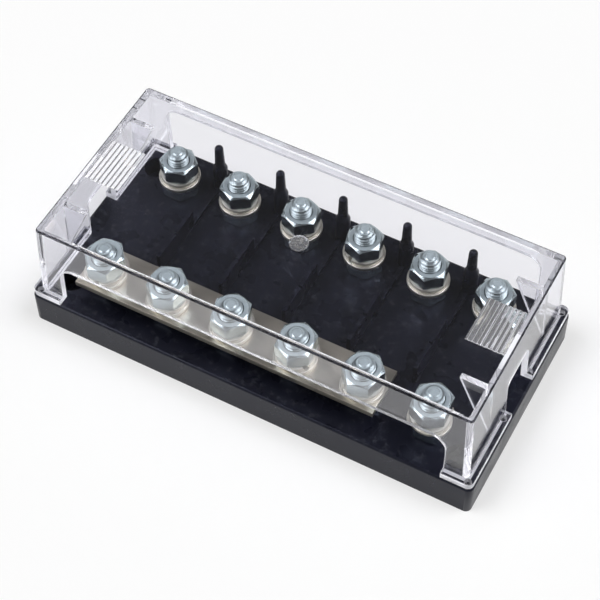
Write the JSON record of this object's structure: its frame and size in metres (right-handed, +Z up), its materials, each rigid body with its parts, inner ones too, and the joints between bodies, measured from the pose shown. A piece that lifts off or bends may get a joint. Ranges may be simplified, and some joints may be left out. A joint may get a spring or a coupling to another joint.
{
  "type": "fuse holder",
  "caption": "Black fuse holder base with rows of bolt studs carrying nuts and washers, a flat bus bar, partition fins and a clear lift-off cover.",
  "frame": {"origin": "in the mounting plane, under the middle of the base", "axes": "+X along the row of fuse ways, +Y towards the pegs at the rear, +Z up out of the base"},
  "size_m": [0.177, 0.0846, 0.0503],
  "materials": {
    "black_plastic": "glossy black moulded thermoplastic",
    "clear_plastic": "clear moulded polycarbonate with polished faces",
    "plated_bar": "nickel-plated flat copper bar with a fine rolled grain",
    "plated_washer": "nickel-plated stamped washer",
    "zinc_steel": "bright blue-white zinc-plated steel"
  },
  "bodies": {
    "base": {"base": "black_plastic", "bus_bar": "plated_bar", "rear_lower_nuts": "zinc_steel", "front_lower_nuts": "zinc_steel", "rear_stud_1": "zinc_steel", "rear_stud_2": "zinc_steel", "rear_stud_3": "zinc_steel", "rear_stud_4": "zinc_steel", "rear_stud_5": "zinc_steel", "rear_stud_6": "zinc_steel", "rear_flat_washer_1": "plated_washer", "rear_flat_washer_2": "plated_washer", "rear_flat_washer_3": "plated_washer", "rear_flat_washer_4": "plated_washer", "rear_flat_washer_5": "plated_washer", "rear_flat_washer_6": "plated_washer", "rear_lock_washer_1": "zinc_steel", "rear_lock_washer_2": "zinc_steel", "rear_lock_washer_3": "zinc_steel", "rear_lock_washer_4": "zinc_steel", "rear_lock_washer_5": "zinc_steel", "rear_lock_washer_6": "zinc_steel", "rear_nut_1": "zinc_steel", "rear_nut_2": "zinc_steel", "rear_nut_3": "zinc_steel", "rear_nut_4": "zinc_steel", "rear_nut_5": "zinc_steel", "rear_nut_6": "zinc_steel", "front_stud_1": "zinc_steel", "front_stud_2": "zinc_steel", "front_stud_3": "zinc_steel", "front_stud_4": "zinc_steel", "front_stud_5": "zinc_steel", "front_stud_6": "zinc_steel", "front_flat_washer_1": "plated_washer", "front_flat_washer_2": "plated_washer", "front_flat_washer_3": "plated_washer", "front_flat_washer_4": "plated_washer", "front_flat_washer_5": "plated_washer", "front_flat_washer_6": "plated_washer", "front_lock_washer_1": "zinc_steel", "front_lock_washer_2": "zinc_steel", "front_lock_washer_3": "zinc_steel", "front_lock_washer_4": "zinc_steel", "front_lock_washer_5": "zinc_steel", "front_lock_washer_6": "zinc_steel", "front_nut_1": "zinc_steel", "front_nut_2": "zinc_steel", "front_nut_3": "zinc_steel", "front_nut_4": "zinc_steel", "front_nut_5": "zinc_steel", "front_nut_6": "zinc_steel"},
    "cover": {"cover": "clear_plastic"}
  },
  "joints": [
    {"name": "cover_lift", "type": "slide", "parent": "base", "child": "cover", "axis": [0, 0, 1], "range_m": [0, 0.06]}
  ]
}
